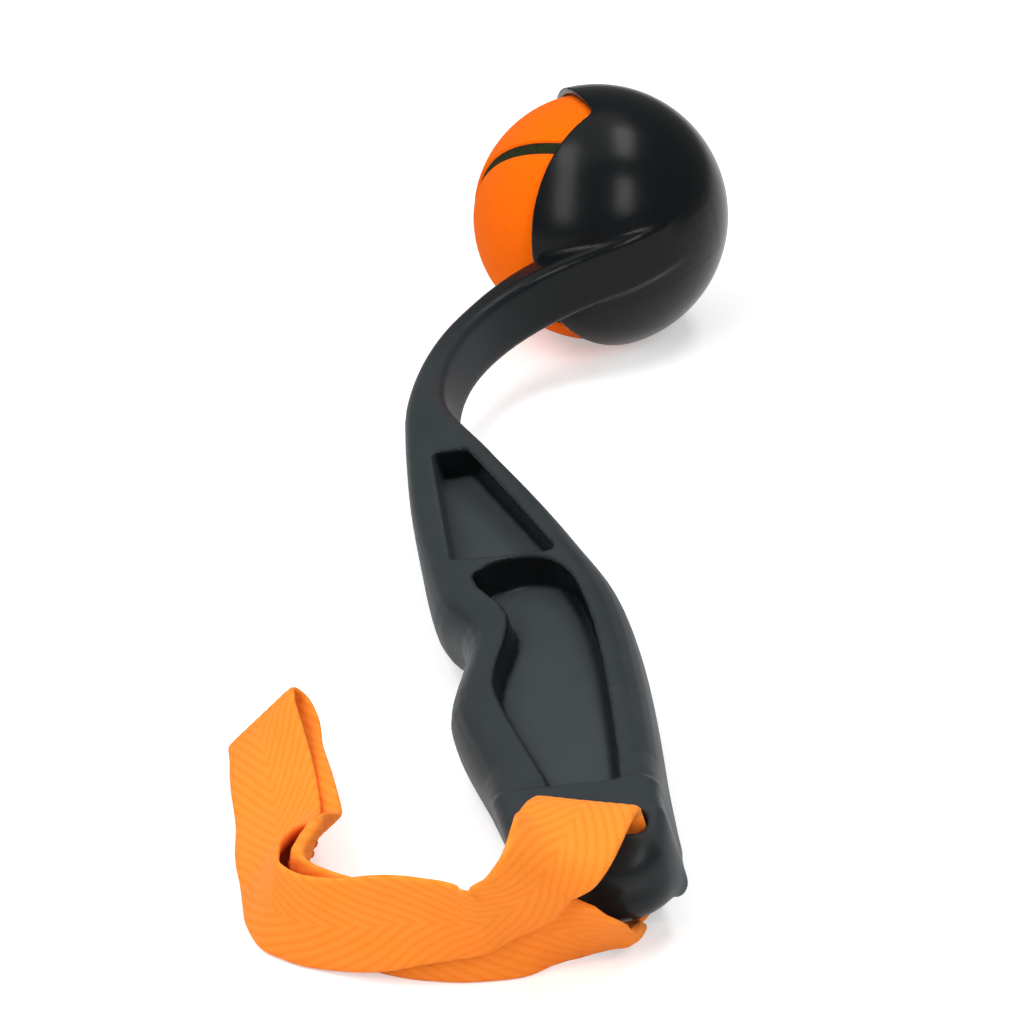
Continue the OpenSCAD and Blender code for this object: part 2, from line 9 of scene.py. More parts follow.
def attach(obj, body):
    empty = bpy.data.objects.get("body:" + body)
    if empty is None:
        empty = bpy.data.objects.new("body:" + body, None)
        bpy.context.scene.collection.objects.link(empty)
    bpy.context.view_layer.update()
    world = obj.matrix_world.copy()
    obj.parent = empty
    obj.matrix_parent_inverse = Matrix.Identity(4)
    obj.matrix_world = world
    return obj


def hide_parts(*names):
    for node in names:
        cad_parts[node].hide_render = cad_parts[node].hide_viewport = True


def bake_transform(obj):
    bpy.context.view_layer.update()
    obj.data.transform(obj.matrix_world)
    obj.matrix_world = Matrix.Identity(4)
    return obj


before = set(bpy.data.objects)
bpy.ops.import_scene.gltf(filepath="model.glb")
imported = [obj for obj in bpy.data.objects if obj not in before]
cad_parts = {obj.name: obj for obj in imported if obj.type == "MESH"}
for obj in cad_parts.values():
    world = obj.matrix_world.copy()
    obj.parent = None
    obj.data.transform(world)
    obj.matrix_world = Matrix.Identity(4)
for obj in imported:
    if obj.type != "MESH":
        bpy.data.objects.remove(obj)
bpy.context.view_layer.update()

# Camera
# The launcher is looked down on from beyond the pommel, a little to the left of the handle, with a
# long lens, so that the pommel and the strap are nearest and the cup is farthest away.
camera_place = Vector((-0.158240, -0.700324, 0.373531))
camera_right = Vector((0.980962, -0.193436, -0.017180))
camera_up = Vector((0.102096, 0.438448, 0.892939))
camera_back = camera_right.cross(camera_up)
lens = bpy.data.cameras.new("view_lens")
lens.sensor_width = 36.0
lens.lens = 120.66
lens.clip_end = 20.0
camera = bpy.data.objects.new("view", lens)
turn = Matrix((camera_right, camera_up, camera_back)).transposed()
camera.matrix_world = Matrix.Translation(camera_place) @ turn.to_4x4()
bpy.context.collection.objects.link(camera)
bpy.context.scene.camera = camera

# Wrist strap
# A loop of orange cotton webbing, 20 mm wide and 1.6 mm thick, woven in herringbone. It goes through the
# slot in the pommel, and its two ends are lapped and sewn together. It is laid through the listed rows.
strap_width = 0.0200
strap_thick = 0.0016
rest_gap = 0.0003
slot_from = np.array([-0.0357863, -0.170426, 0.0])
lie_turn = math.radians(16.3342)
lie_lift = 0.0153444


def laid(x, y, z):
    """A point of the launcher's own frame, in millimetres, where it lies on the floor."""
    c, s = math.cos(lie_turn), math.sin(lie_turn)
    return np.array([(x * c - z * s) / 1000, y / 1000, (x * s + z * c) / 1000 + lie_lift]) + slot_from


slot_place = (-2, 17)
slot_slant = math.radians(23)
slot_run = laid(math.cos(slot_slant), -math.sin(slot_slant), 0) - laid(0, 0, 0)
slot_run = slot_run / np.linalg.norm(slot_run)


def in_slot(z):
    return (laid(*slot_place, z) - slot_from) * 1000


stand = strap_width * 500 + rest_gap * 1000
down = (0, 0, -1)


def unit(v):
    v = np.asarray(v, float)
    return v / np.linalg.norm(v, axis=-1, keepdims=True)


# the fold at the loop's far end: its bend radius, its middle and the webbing's three directions there
fold_r = 1.7
fold_mid = np.array([-58.3, 93.8, 9.9])
fold_across = unit([-0.7, 0.1, -0.7])
fold_along = unit(np.array([0, 1, 0]) - fold_across[1] * fold_across)
fold_face = np.cross(fold_across, fold_along)


def fold_row(n, t, across=fold_across):
    return (fold_mid + n * fold_face + t * fold_along, across, 1)


# rows of the strap's middle line in millimetres, the way its width points, and how far it is gathered
strap_rows = [
    (in_slot(-6), slot_run, 1),
    (in_slot(6), slot_run, 1),
    (in_slot(12.5), (0.9, -0.39, 0.2), 1),
    ((-6.6, 14.2, 31), (0.9, -0.42, 0.02), 1),
    ((-9.6, 8.6, 32.6), (0.9, -0.36, -0.1), 1),
    ((-13.3, 2.6, 31.9), (0.91, -0.2, -0.22), 1),
    ((-16.9, -1.4, 30.3), (0.84, 0.06, -0.44), 1),
    ((-20.1, -3.5, 27.3), (0.7, 0.2, -0.66), 1),
    ((-23, -3, 23.4), (0.46, 0.3, -0.83), 1),
    ((-26.8, -1.2, 19.8), (0.22, 0.38, -0.9), 1),
    ((-31.6, -0.2, 17.6), (0.05, 0.32, -0.95), 1),
    ((-37.4, 2.4, 17), (-0.04, 0.2, -0.98), 1),
    ((-44.2, 6.2, 15.4), (-0.1, 0.08, -0.99), 1),
    ((-51, 10.8, 12.4), (-0.06, -0.02, -1), 1),
    ((-56.6, 14.4, 11), (-0.02, -0.04, -1), 1),
    ((-61.6, 17.9, 10.4), (-0.08, 0, -1), 1),
    ((-64.9, 21.4, 10.4), (-0.11, 0, -0.99), 1),
    ((-66.9, 26, 10.2), (-0.22, 0, -0.97), 1),
    ((-67, 33, 9.9), (-0.36, 0, -0.93), 1),
    ((-65.3, 40, 9.2), (-0.53, 0.03, -0.85), 1),
    ((-62.6, 48, 8), (-0.79, 0, -0.61), 1),
    ((-61.3, 56, 6.8), (-0.88, 0, -0.48), 1),
    ((-60.1, 68, 7), (-0.83, 0, -0.56), 1),
    ((-60, 80, 9.2), (-0.78, 0.03, -0.62), 1),
    fold_row(-fold_r, -5),
    fold_row(-fold_r, -2),
    fold_row(-fold_r, 0),
    fold_row(-fold_r / 2, fold_r * 0.87),
    fold_row(1.1, 1.7),
    fold_row(2.5, 0.5, (-0.75, 0.1, -0.65)),
    fold_row(3.4, -4, (-0.82, 0.08, -0.57)),
    fold_row(3.5, -9, (-0.83, 0.05, -0.56)),
    ((-56.9, 79, 6.6), (-0.83, 0.02, -0.56), 1),
    ((-56.7, 68, 6.6), (-0.83, 0, -0.56), 1),
    ((-57, 56, 6), (-0.87, 0, -0.49), 1),
    ((-57.4, 48.4, 7.4), (-0.77, 0, -0.64), 1),
    ((-58.6, 41, 9.6), (-0.45, 0, -0.89), 1),
    ((-60.2, 33, stand), (-0.2, 0, -0.98), 1),
    ((-60.6, 28, stand), down, 1),
    ((-59.4, 23, stand), down, 1),
    ((-55.6, 18.4, stand), down, 1),
    ((-50, 13.8, stand), down, 1),
    ((-43.5, 9.4, stand), down, 1),
    ((-37.5, 6.9, stand), down, 1),
    ((-31.5, 5.3, stand), down, 1),
    ((-22.4, 4.7, stand), down, 1),
    ((-15.6, 4.4, 10.2), (0, 0.22, -0.98), 1),
    ((-9.1, 3.8, 9.2), (0.05, 0.45, -0.89), 0.94),
    ((-3.65, 3.6, 8), (0.05, 0.6, -0.8), 0.71),
    ((-0.2, 4.4, 6.6), (0.1, 0.5, -0.86), 0.24),
    ((2.4, 8.4, 5.9), (0.5, 0.35, -0.75), 0.16),
    ((2.2, 11.4, 4), (0.85, 0, -0.3), 0.16),
    ((0.4, 14.4, 2.8), (0.88, -0.3, 0.1), 0.3),
    (in_slot(-11.6), slot_run, 0.55),
]
lap_row = 37
lap_half = 0.0070


def through(rows, u):
    """Closed smooth curve through rows, at row numbers u."""
    rows = np.array(rows, float)
    n = len(rows)
    i = np.floor(u).astype(int)
    t = (u - i).reshape((-1,) + (1,) * (rows.ndim - 1))
    a, b, c, d = (rows[(i + k) % n] for k in (-1, 0, 1, 2))
    square_part = (2 * a - 5 * b + 4 * c - d) * t ** 2
    cube_part = (3 * b - a - 3 * c + d) * t ** 3
    return 0.5 * (2 * b + (c - a) * t + square_part + cube_part)


def strap_at(u):
    """Middle points, ways along, ways across, faces and width shares of the strap at row numbers u."""
    n = len(strap_rows)
    middle = np.array([r[0] for r in strap_rows], float) / 1000 + slot_from
    p = through(middle, u)
    t = unit(through(middle, u + 0.02) - through(middle, u - 0.02 + n))
    i = np.floor(u).astype(int)
    s = np.array([r[2] for r in strap_rows], float)
    share = s[i % n] + (s[(i + 1) % n] - s[i % n]) * (u - i)
    w = unit(through([np.array(r[1], float) for r in strap_rows], u))
    square = np.clip(5 * share - 4, 0, 1)[:, None]
    w = unit(w - square * (w * t).sum(1, keepdims=True) * t)
    return p, t, w, unit(np.cross(t, w)), share


fine_stations = 6000
fine = np.linspace(0, len(strap_rows), fine_stations, endpoint=False)
fine_rows = np.append(fine, len(strap_rows))
path = strap_at(fine)[0]
path_steps = np.linalg.norm(np.diff(np.vstack([path, path[:1]]), axis=0), axis=1)
run = np.concatenate([[0], np.cumsum(path_steps)])
strap_length = run[-1]
strap_stations = 900
strap_s = np.arange(strap_stations) / strap_stations * strap_length
strap_u = np.interp(strap_s, run, fine_rows)
lap_s = np.interp(lap_row, fine, run[:-1])
across = 44
edge_square = 14
edge_thin = 0.35
lap_ramp = (0.0008, -0.0004)
rib_pitch = 0.0019
rib_lean = math.radians(27)
rib_rise = 0.00009
yarn_pitch_out = 0.00062
yarn_pitch_run = 0.0009


def smooth(a, b, x):
    t = np.clip((x - a) / (b - a), 0, 1)
    return t * t * (3 - 2 * t)


def build_strap():
    """Two woven faces along the rows, twice as thick at the lap, thinner at the selvedges."""
    p, t, w, n, share = strap_at(strap_u)
    v = np.linspace(-1, 1, across)
    edge = np.sqrt(np.clip(1 - np.abs(v) ** edge_square, 0, 1))
    double = 1 + smooth(lap_half + lap_ramp[0], lap_half + lap_ramp[1], np.abs(strap_s - lap_s))
    points, where = [], []
    for face, order in ((1, v), (-1, v[::-1])):
        e = edge if face == 1 else edge[::-1]
        x = order[None, :] * strap_width / 2
        phase = (np.abs(x) * math.cos(rib_lean) - strap_s[:, None] * math.sin(rib_lean)) / rib_pitch
        rib = rib_rise * (np.abs(np.sin(math.pi * phase)) - 0.6) * e[None, :]
        thick = strap_thick / 2 * double[:, None] * (edge_thin + (1 - edge_thin) * e[None, :])
        half = thick + rib - rib_rise * 0.4
        q = p[:, None] + w[:, None] * (x * share[:, None])[..., None] + face * n[:, None] * half[..., None]
        points.append(q)
        where.append(np.stack(np.broadcast_arrays(strap_s[:, None], x), -1))
    points = np.concatenate(points, 1)
    where = np.concatenate(where, 1)
    m, k = points.shape[:2]
    faces = [
        (i * k + j, i * k + (j + 1) % k, ((i + 1) % m) * k + (j + 1) % k, ((i + 1) % m) * k + j)
        for i in range(m)
        for j in range(k)
    ]
    mesh = bpy.data.meshes.new("wrist_strap")
    mesh.from_pydata(points.reshape(-1, 3).tolist(), [], faces)
    mesh.polygons.foreach_set("use_smooth", [True] * len(mesh.polygons))
    weave = mesh.attributes.new("weave", "FLOAT_VECTOR", "POINT")
    flat_where = np.concatenate([where.reshape(-1, 2), np.zeros((m * k, 1))], 1)
    weave.data.foreach_set("vector", flat_where.astype(np.float32).ravel())
    mesh.validate()
    return mesh


class Nodes:
    """A material's node tree, with short calls for the nodes that the finishes share."""

    def __init__(self, name):
        self.material = bpy.data.materials.new(name)
        self.material.use_nodes = True
        self.tree = self.material.node_tree
        self.shader = self.tree.nodes["Principled BSDF"]

    def add(self, kind, **values):
        node = self.tree.nodes.new(kind)
        for key, value in values.items():
            setattr(node, key, value)
        return node

    def join(self, a, b):
        self.tree.links.new(a, b)

    def math(self, what, a, b=None):
        node = self.add("ShaderNodeMath", operation=what)
        for socket, value in zip(node.inputs, (a, b)):
            if value is None:
                continue
            if isinstance(value, (int, float)):
                socket.default_value = value
            else:
                self.join(value, socket)
        return node.outputs[0]

    def noise(self, vector, scale, detail=3.0, rough=0.55):
        node = self.add("ShaderNodeTexNoise")
        node.inputs["Scale"].default_value = scale
        node.inputs["Detail"].default_value = detail
        node.inputs["Roughness"].default_value = rough
        self.join(vector, node.inputs["Vector"])
        return node.outputs["Fac"]

    def ramp(self, factor, stops):
        node = self.add("ShaderNodeValToRGB")
        while len(node.color_ramp.elements) < len(stops):
            node.color_ramp.elements.new(0.5)
        for element, (place, colour) in zip(node.color_ramp.elements, stops):
            element.position = place
            element.color = (*colour, 1.0)
        self.join(factor, node.inputs["Fac"])
        return node.outputs["Color"]

    def object_place(self):
        return self.add("ShaderNodeTexCoord").outputs["Object"]

    def bump(self, height, strength, distance):
        node = self.add("ShaderNodeBump")
        node.inputs["Strength"].default_value = strength
        node.inputs["Distance"].default_value = distance
        self.join(height, node.inputs["Height"])
        self.join(node.outputs["Normal"], self.shader.inputs["Normal"])

    def between(self, value, a, b, to_a, to_b):
        node = self.add("ShaderNodeMapRange", interpolation_type="SMOOTHSTEP")
        for key, number in (("From Min", a), ("From Max", b), ("To Min", to_a), ("To Max", to_b)):
            node.inputs[key].default_value = number
        self.join(value, node.inputs["Value"])
        return node.outputs["Result"]

    def set(self, **values):
        for key, value in values.items():
            self.shader.inputs[key.replace("_", " ")].default_value = value


def cotton_webbing():
    """Orange herringbone: ribs that run out from the middle of the strap, each a row of short floats."""
    mat = Nodes("orange_cotton_webbing")
    weave = mat.add("ShaderNodeAttribute", attribute_name="weave")
    parts = mat.add("ShaderNodeSeparateXYZ")
    mat.join(weave.outputs["Vector"], parts.inputs[0])
    run_way, out_way = parts.outputs[0], mat.math("ABSOLUTE", parts.outputs[1])
    lean_out = mat.math("MULTIPLY", out_way, math.cos(rib_lean) / rib_pitch)
    lean_run = mat.math("MULTIPLY", run_way, math.sin(rib_lean) / rib_pitch)
    phase = mat.math("SUBTRACT", lean_out, lean_run)
    rib = mat.math("ABSOLUTE", mat.math("SINE", mat.math("MULTIPLY", phase, math.pi)))
    yarn_out = mat.math("MULTIPLY", out_way, 1 / yarn_pitch_out)
    yarn_run = mat.math("MULTIPLY", run_way, 1 / yarn_pitch_run)
    yarn_along = mat.math("ADD", yarn_out, yarn_run)
    yarn = mat.math("ABSOLUTE", mat.math("SINE", mat.math("MULTIPLY", yarn_along, math.pi)))
    fibre = mat.noise(mat.object_place(), 2600.0, 2.0)
    patch = mat.noise(mat.object_place(), 120.0, 3.0)
    height = mat.math("ADD", mat.math("MULTIPLY", rib, 0.55), mat.math("MULTIPLY", yarn, 0.3))
    height = mat.math("ADD", height, mat.math("MULTIPLY", fibre, 0.35))
    # the colour follows the weave's height, which also makes the bump: darker in the dips as painted shade
    # and lighter on the yarn tops as painted light; the patch noise adds random tone
    tone = mat.math("ADD", mat.math("MULTIPLY", height, 0.75), mat.math("MULTIPLY", patch, 0.25))
    dip_shade, yarn_top, lit_top = (0.95, 0.20, 0.008), (1.0, 0.25, 0.020), (1.0, 0.30, 0.040)
    colour = mat.ramp(tone, ((0.1, dip_shade), (0.5, yarn_top), (0.95, lit_top)))
    mat.join(colour, mat.shader.inputs["Base Color"])
    mat.bump(height, 0.5, 0.0003)
    mat.set(Roughness=0.9, Sheen_Weight=0.12, Sheen_Roughness=0.5)
    mat.shader.inputs["Specular IOR Level"].default_value = 0.15
    mat.shader.inputs["Sheen Tint"].default_value = (1.0, 0.62, 0.32, 1.0)
    return mat.material


def place(name, mesh, material):
    piece = bpy.data.objects.new(name, mesh)
    bpy.context.collection.objects.link(piece)
    mesh.materials.clear()
    mesh.materials.append(material)
    return piece


wrist_strap = place("wrist_strap", build_strap(), cotton_webbing())

# Sewn lap of the strap
# Two rows of orange thread go through both layers of the webbing, with short stitches on either face.
thread_thick = 0.0006
thread_seat = 0.15
stitch_long = 0.0017
stitch_pitch = 0.0024
stitch_rows = (-0.004, 0.004)
stitch_count = 6


def build_stitches():
    """Each stitch is a short thread that dips into the webbing at both ends."""
    verts, faces = [], []
    u_near = np.interp(lap_s + np.array(stitch_rows), run, fine_rows)
    p, t, w, n = strap_at(u_near)[:4]
    along_steps, around = 9, 8
    for row in range(len(stitch_rows)):
        for face in (-1, 1):
            for i in range(stitch_count):
                out = (i - (stitch_count - 1) / 2) * stitch_pitch
                start = len(verts)
                for k in range(along_steps):
                    a = k / (along_steps - 1) * 2 - 1
                    rise = thread_thick * (0.30 * (1 - a * a) - 0.28)
                    radius = thread_thick / 2 * math.sqrt(max(1 - abs(a) ** 4, 0.05))
                    centre = p[row] + w[row] * (out + a * stitch_long / 2)
                    centre = centre + face * n[row] * (strap_thick + thread_thick * thread_seat + rise)
                    for j in range(around):
                        b = 2 * math.pi * j / around
                        verts.append(centre + radius * (math.cos(b) * n[row] + math.sin(b) * t[row]))
                for k in range(along_steps - 1):
                    for j in range(around):
                        q = (j + 1) % around
                        a0, a1 = start + k * around, start + (k + 1) * around
                        faces.append((a0 + j, a0 + q, a1 + q, a1 + j))
                faces.append(tuple(start + j for j in reversed(range(around))))
                faces.append(tuple(start + (along_steps - 1) * around + j for j in range(around)))
    mesh = bpy.data.meshes.new("lap_stitches")
    mesh.from_pydata([tuple(v) for v in verts], [], faces)
    mesh.polygons.foreach_set("use_smooth", [True] * len(mesh.polygons))
    return mesh


def orange_thread():
    mat = Nodes("orange_thread")
    twist = mat.add("ShaderNodeTexWave", wave_type="BANDS", bands_direction="DIAGONAL")
    twist.inputs["Scale"].default_value = 900.0
    mat.join(mat.object_place(), twist.inputs["Vector"])
    # the colour follows the twist's bands, which also make the bump: darker in the grooves as painted shade
    colour = mat.ramp(twist.outputs["Fac"], ((0.0, (0.62, 0.09, 0.002)), (1.0, (0.95, 0.21, 0.015))))
    mat.join(colour, mat.shader.inputs["Base Color"])
    mat.bump(twist.outputs["Fac"], 0.6, 0.0001)
    mat.set(Roughness=0.7, Sheen_Weight=0.2)
    return mat.material


lap_stitches = place("lap_stitches", build_stitches(), orange_thread())
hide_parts("strap_stitching")
# the webbing and its stitches have their placement baked into their points
for soft_piece in (wrist_strap, lap_stitches):
    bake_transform(soft_piece)
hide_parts("strap_webbing")

# Launcher
# One injection moulding in dark grey plastic: pommel, grip, neck, curved arm and the jawed cup. The handle
# and arm came out of a blasted mould and are matt; the cup, the nose and the recess walls are glossier, and
# their colour is painted near-black as painted shade, fading out along the arm from the cup. Its solid is
# given even radii, then the cup is trued to its ball and the nose is sanded.
ball_centre = Vector(laid(61, 302, 0))
cup_outside = 0.0350
mould_step = 0.00045
mould_rounds = 14
weld_gap = 0.00002


def moulded_copy(node, step, rounds):
    """The node's solid as one even skin, with the small radii that a moulding has on every edge."""
    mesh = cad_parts[node].data.copy()
    shell = bmesh.new()
    shell.from_mesh(mesh)
    bmesh.ops.remove_doubles(shell, verts=shell.verts, dist=weld_gap)
    shell.to_mesh(mesh)
    shell.free()
    piece = bpy.data.objects.new("blank", mesh)
    bpy.context.collection.objects.link(piece)
    grain = piece.modifiers.new("grain", "REMESH")
    grain.mode = "VOXEL"
    grain.voxel_size = step
    grain.use_smooth_shade = True
    soften = piece.modifiers.new("soften", "SMOOTH")
    soften.factor = 0.5
    soften.iterations = rounds
    bpy.context.view_layer.update()
    done = bpy.data.meshes.new_from_object(piece.evaluated_get(bpy.context.evaluated_depsgraph_get()))
    bpy.data.objects.remove(piece)
    bpy.data.meshes.remove(mesh)
    return done


def launcher_plastic():
    mat = Nodes("dark_grey_plastic")
    spot = mat.object_place()
    away = mat.add("ShaderNodeVectorMath", operation="DISTANCE")
    mat.join(spot, away.inputs[0])
    away.inputs[1].default_value = ball_centre
    # over about 6 cm out from the cup the colour fades from the near-black painted shade to the matt grey,
    # and the roughness rises with it
    gloss_shade_from, gloss_shade_to = cup_outside + 0.001, cup_outside + 0.06
    off_cup = mat.between(away.outputs["Value"], gloss_shade_from, gloss_shade_to, 0.0, 1.0)
    # this mask lowers the roughness and paints the colour near-black as painted shade
    polish_and_shade = mat.add("ShaderNodeAttribute", attribute_name="polish_and_shade").outputs["Fac"]
    tray = mat.add("ShaderNodeAttribute", attribute_name="tray").outputs["Fac"]
    matt_unshaded = mat.math("MULTIPLY", off_cup, mat.math("SUBTRACT", 1.0, polish_and_shade))
    blast = mat.noise(spot, 2400.0, 3.0, 0.6)
    flow = mat.noise(spot, 45.0, 4.0, 0.6)
    rub = mat.noise(spot, 260.0, 5.0, 0.65)
    tone = mat.math("ADD", mat.math("MULTIPLY", flow, 0.6), mat.math("MULTIPLY", rub, 0.4))
    grip = mat.ramp(tone, ((0.3, (0.025, 0.031, 0.034)), (0.7, (0.034, 0.041, 0.045))))
    base = mat.ramp(tone, ((0.3, (0.038, 0.045, 0.049)), (0.7, (0.046, 0.054, 0.058))))
    # near-black colour of the glossy cup, nose and recess walls: painted shade, far darker than the grey of
    # the same plastic
    shaded_gloss_colour = mat.ramp(tone, ((0.3, (0.0045, 0.0052, 0.0058)), (0.7, (0.006, 0.0068, 0.0075))))
    blasted = mat.add("ShaderNodeMix", data_type="RGBA")
    mat.join(tray, blasted.inputs["Factor"])
    mat.join(grip, blasted.inputs["A"])
    mat.join(base, blasted.inputs["B"])
    # where matt_unshaded is low, the near-black painted shade takes the place of the grey
    mix = mat.add("ShaderNodeMix", data_type="RGBA")
    mat.join(matt_unshaded, mix.inputs["Factor"])
    mat.join(shaded_gloss_colour, mix.inputs["A"])
    mat.join(blasted.outputs["Result"], mix.inputs["B"])
    mat.join(mix.outputs["Result"], mat.shader.inputs["Base Color"])
    rough = mat.math("ADD", mat.math("MULTIPLY", matt_unshaded, 0.25), mat.math("MULTIPLY", rub, 0.10))
    mat.join(mat.math("ADD", rough, 0.20), mat.shader.inputs["Roughness"])
    mat.bump(mat.math("MULTIPLY", blast, matt_unshaded), 0.16, 0.00012)
    mat.shader.inputs["Specular IOR Level"].default_value = 0.14
    return mat.material


def eased(mesh, values, weight, rounds):
    """Averages the points' values with their neighbours, as sanding does, where the weight is not zero."""
    pairs = np.empty(len(mesh.edges) * 2, np.int32)
    mesh.edges.foreach_get("vertices", pairs)
    a, b = pairs.reshape(-1, 2).T
    use = (weight[a] > 0) | (weight[b] > 0)
    a, b = np.concatenate([a[use], b[use]]), np.concatenate([b[use], a[use]])
    size = len(weight)
    count = np.maximum(np.bincount(a, minlength=size), 1)[:, None]
    values = values.reshape(size, -1).copy()
    for turn_round in range(rounds):
        totals = [np.bincount(a, weights=column[b], minlength=size) for column in values.T]
        values += 0.5 * weight[:, None] * (np.stack(totals, 1) / count - values)
    return values


def dist_to_sector(x, y, first, last):
    """Distance in a plane from the sector between two headings, in radians, that starts at the origin."""
    angle = np.arctan2(y, x) % (2 * math.pi)
    reach = np.hypot(x, y)
    off = np.minimum(np.abs(angle - first), np.abs(angle - last))
    off = np.minimum(off, 2 * math.pi - np.maximum(np.abs(angle - first), np.abs(angle - last)))
    beside = np.where(off < math.pi / 2, reach * np.sin(np.minimum(off, math.pi / 2)), reach)
    return np.where((angle > first) & (angle < last), 0.0, beside)


# the jaws: headings and reaches of their two rims, and the radius of the corner between them
near_heading, far_heading = math.radians(210), math.radians(99)
near_reach, far_reach, jaw_corner = 0.012, 0.0052, 0.004
rim_round = 0.0005
cup_inside = 0.0330
side_way = np.array([math.cos(lie_turn), 0, math.sin(lie_turn)])


def jaw_middle():
    """Where the corner between the two jaws has its centre."""
    near_way = np.array([math.cos(near_heading + math.pi / 2), math.sin(near_heading + math.pi / 2)])
    far_way = np.array([math.cos(far_heading - math.pi / 2), math.sin(far_heading - math.pi / 2)])
    return np.linalg.solve(np.array([near_way, far_way]), [near_reach - jaw_corner, far_reach - jaw_corner])


def cup_depth(q):
    """How far points lie outside the cup: a hollow ball with the jaws cut out and its rims rounded."""
    mid_r, half_wall = (cup_outside + cup_inside) / 2, (cup_outside - cup_inside) / 2
    wall = np.abs(np.linalg.norm(q, axis=1) - mid_r) - half_wall
    middle = jaw_middle()
    out, up = q @ side_way - middle[0], q[:, 1] - middle[1]
    gap = jaw_corner - dist_to_sector(out, up, far_heading, near_heading)
    a, b = wall + rim_round, gap + rim_round
    rounded = np.hypot(np.maximum(a, 0), np.maximum(b, 0)) + np.minimum(np.maximum(a, b), 0) - rim_round
    return rounded, gap


launcher_skin = moulded_copy("launcher_body", mould_step, mould_rounds)
points = np.empty(len(launcher_skin.vertices) * 3)
launcher_skin.vertices.foreach_get("co", points)
points = points.reshape(-1, 3)
about = points - np.array(ball_centre)
reach = np.linalg.norm(about, axis=1)
# points within these distances of the cup's wall or rim are set on it, but the arm's band is left as it is
wall_search = (0.0015, 0.0008)
rim_search = (0.0012, 0.0020)
wall_snap = (0.0002, 0.0005)
rim_snap = 0.0014
band_turns = (-45, -35, 50, 58)
band_halves = (0.0105, 0.0125)
near = np.nonzero((reach > cup_inside - wall_search[0]) & (reach < cup_outside + wall_search[1]))[0]
q = about[near]
depth, gap = cup_depth(q)
at_rim = 1 - smooth(*rim_search, np.abs(gap))
face_way = np.array([-math.sin(lie_turn), 0, math.cos(lie_turn)])
band_turn = np.degrees(np.arctan2(q @ side_way, -q[:, 1]))
on_band = smooth(*band_turns[:2], band_turn) * smooth(*band_turns[:1:-1], band_turn)
on_band = on_band * smooth(*band_halves[::-1], np.abs(q @ face_way))
hold = np.maximum(1 - smooth(*wall_snap, np.abs(depth)), at_rim * (np.abs(depth) < rim_snap))
hold = hold * (1 - on_band * (reach[near] > cup_outside - wall_search[1]))
true_rounds = 6
small = 1e-6
for turn_round in range(true_rounds):
    depth = cup_depth(q)[0]
    rises = [cup_depth(q + small * e)[0] - cup_depth(q - small * e)[0] for e in np.eye(3)]
    slope = np.stack(rises, 1) / (2 * small)
    q = q - (hold * depth / np.maximum((slope ** 2).sum(1), 0.25))[:, None] * slope
points[near] = q + np.array(ball_centre)
own = (points - laid(0, 0, 0)) * 1000
nose_ends = (15, 11.5)
nose_rounds = 220
points = eased(launcher_skin, points, smooth(*nose_ends, own[:, 1]), nose_rounds)
launcher_skin.vertices.foreach_set("co", points.ravel())
launcher_skin.update()


def finish_map(mesh, points):
    """Marks the walls of the recess and pocket and the nose, which are glossier and painted near-black as
    painted shade, and the recess floors.
    """
    normals = np.empty(len(points) * 3)
    mesh.vertices.foreach_get("normal", normals)
    normals = normals.reshape(-1, 3)
    level = np.abs(normals @ face_way)
    own = (points - laid(0, 0, 0)) * 1000
    out_way, run_way = own @ side_way, own[:, 1]
    slices = 400
    bins = np.clip(run_way.astype(int), 0, slices)
    low, high = np.full(slices + 1, 1e3), np.full(slices + 1, -1e3)
    np.minimum.at(low, bins, out_way)
    np.maximum.at(high, bins, out_way)
    front_inset, back_inset = out_way - low[bins], high[bins] - out_way
    depth = np.abs(own @ face_way)
    # inside the rims, between the recess's near end and the pocket's far end
    inside = smooth(3.4, 4.2, np.minimum(front_inset, back_inset))
    inside = inside * smooth(33, 35, run_way) * smooth(192, 190, run_way)
    # the recess's rounded back corner is glossy and painted dark as painted shade with its wall; the pocket's
    # front wall is satin
    foot = smooth(10.4, 9.4, back_inset) * smooth(8.6, 8.2, depth) * smooth(128, 124, run_way)
    # the steep walls inside the rims are glossier, and their colour is painted dark as painted shade
    wall = inside * np.maximum(smooth(0.93, 0.75, level), foot)
    floor_part = inside * smooth(0.93, 0.98, level) * smooth(9.2, 8.6, depth)
    satin_wall = smooth(0.3, 0.6, normals @ side_way) * smooth(129, 133, run_way)
    wall, floor_part = wall * (1 - satin_wall), np.maximum(floor_part, wall * satin_wall)
    # the nose is glossier, and its colour is painted dark as painted shade
    nose_gloss_and_shade = 0.6 * smooth(13, 10.5, run_way + 0.3 * out_way) * smooth(10.9, 10.2, depth)
    everywhere = np.ones(len(points))
    marks = (np.maximum(wall, nose_gloss_and_shade), floor_part * (1 - wall))
    return [eased(mesh, mark, everywhere, 6).ravel() for mark in marks]


for label, values in zip(("polish_and_shade", "tray"), finish_map(launcher_skin, points)):
    layer = launcher_skin.attributes.new(label, "FLOAT", "POINT")
    layer.data.foreach_set("value", values.astype(np.float32))
launcher = place("launcher_moulding", launcher_skin, launcher_plastic())
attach(launcher, "launcher")
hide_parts("launcher_body")

# Ball
# A standard felt ball: two hollow rubber halves cemented together, two dog-bone panels of orange felt
# glued over them, and a dark cement seam in the gap between the panels. The felt is flat where it rests.


def ball_rubber():
    mat = Nodes("ball_rubber")
    spot = mat.object_place()
    speck = mat.noise(spot, 500.0, 4.0)
    colour = mat.ramp(speck, ((0.3, (0.16, 0.12, 0.09)), (0.7, (0.24, 0.19, 0.15))))
    mat.join(colour, mat.shader.inputs["Base Color"])
    mat.bump(speck, 0.3, 0.0002)
    mat.set(Roughness=0.8)
    return mat.material


rubber = ball_rubber()
for half in ("ball_core_a", "ball_core_b"):
    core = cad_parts[half]
    core.data.materials.clear()
    core.data.materials.append(rubber)


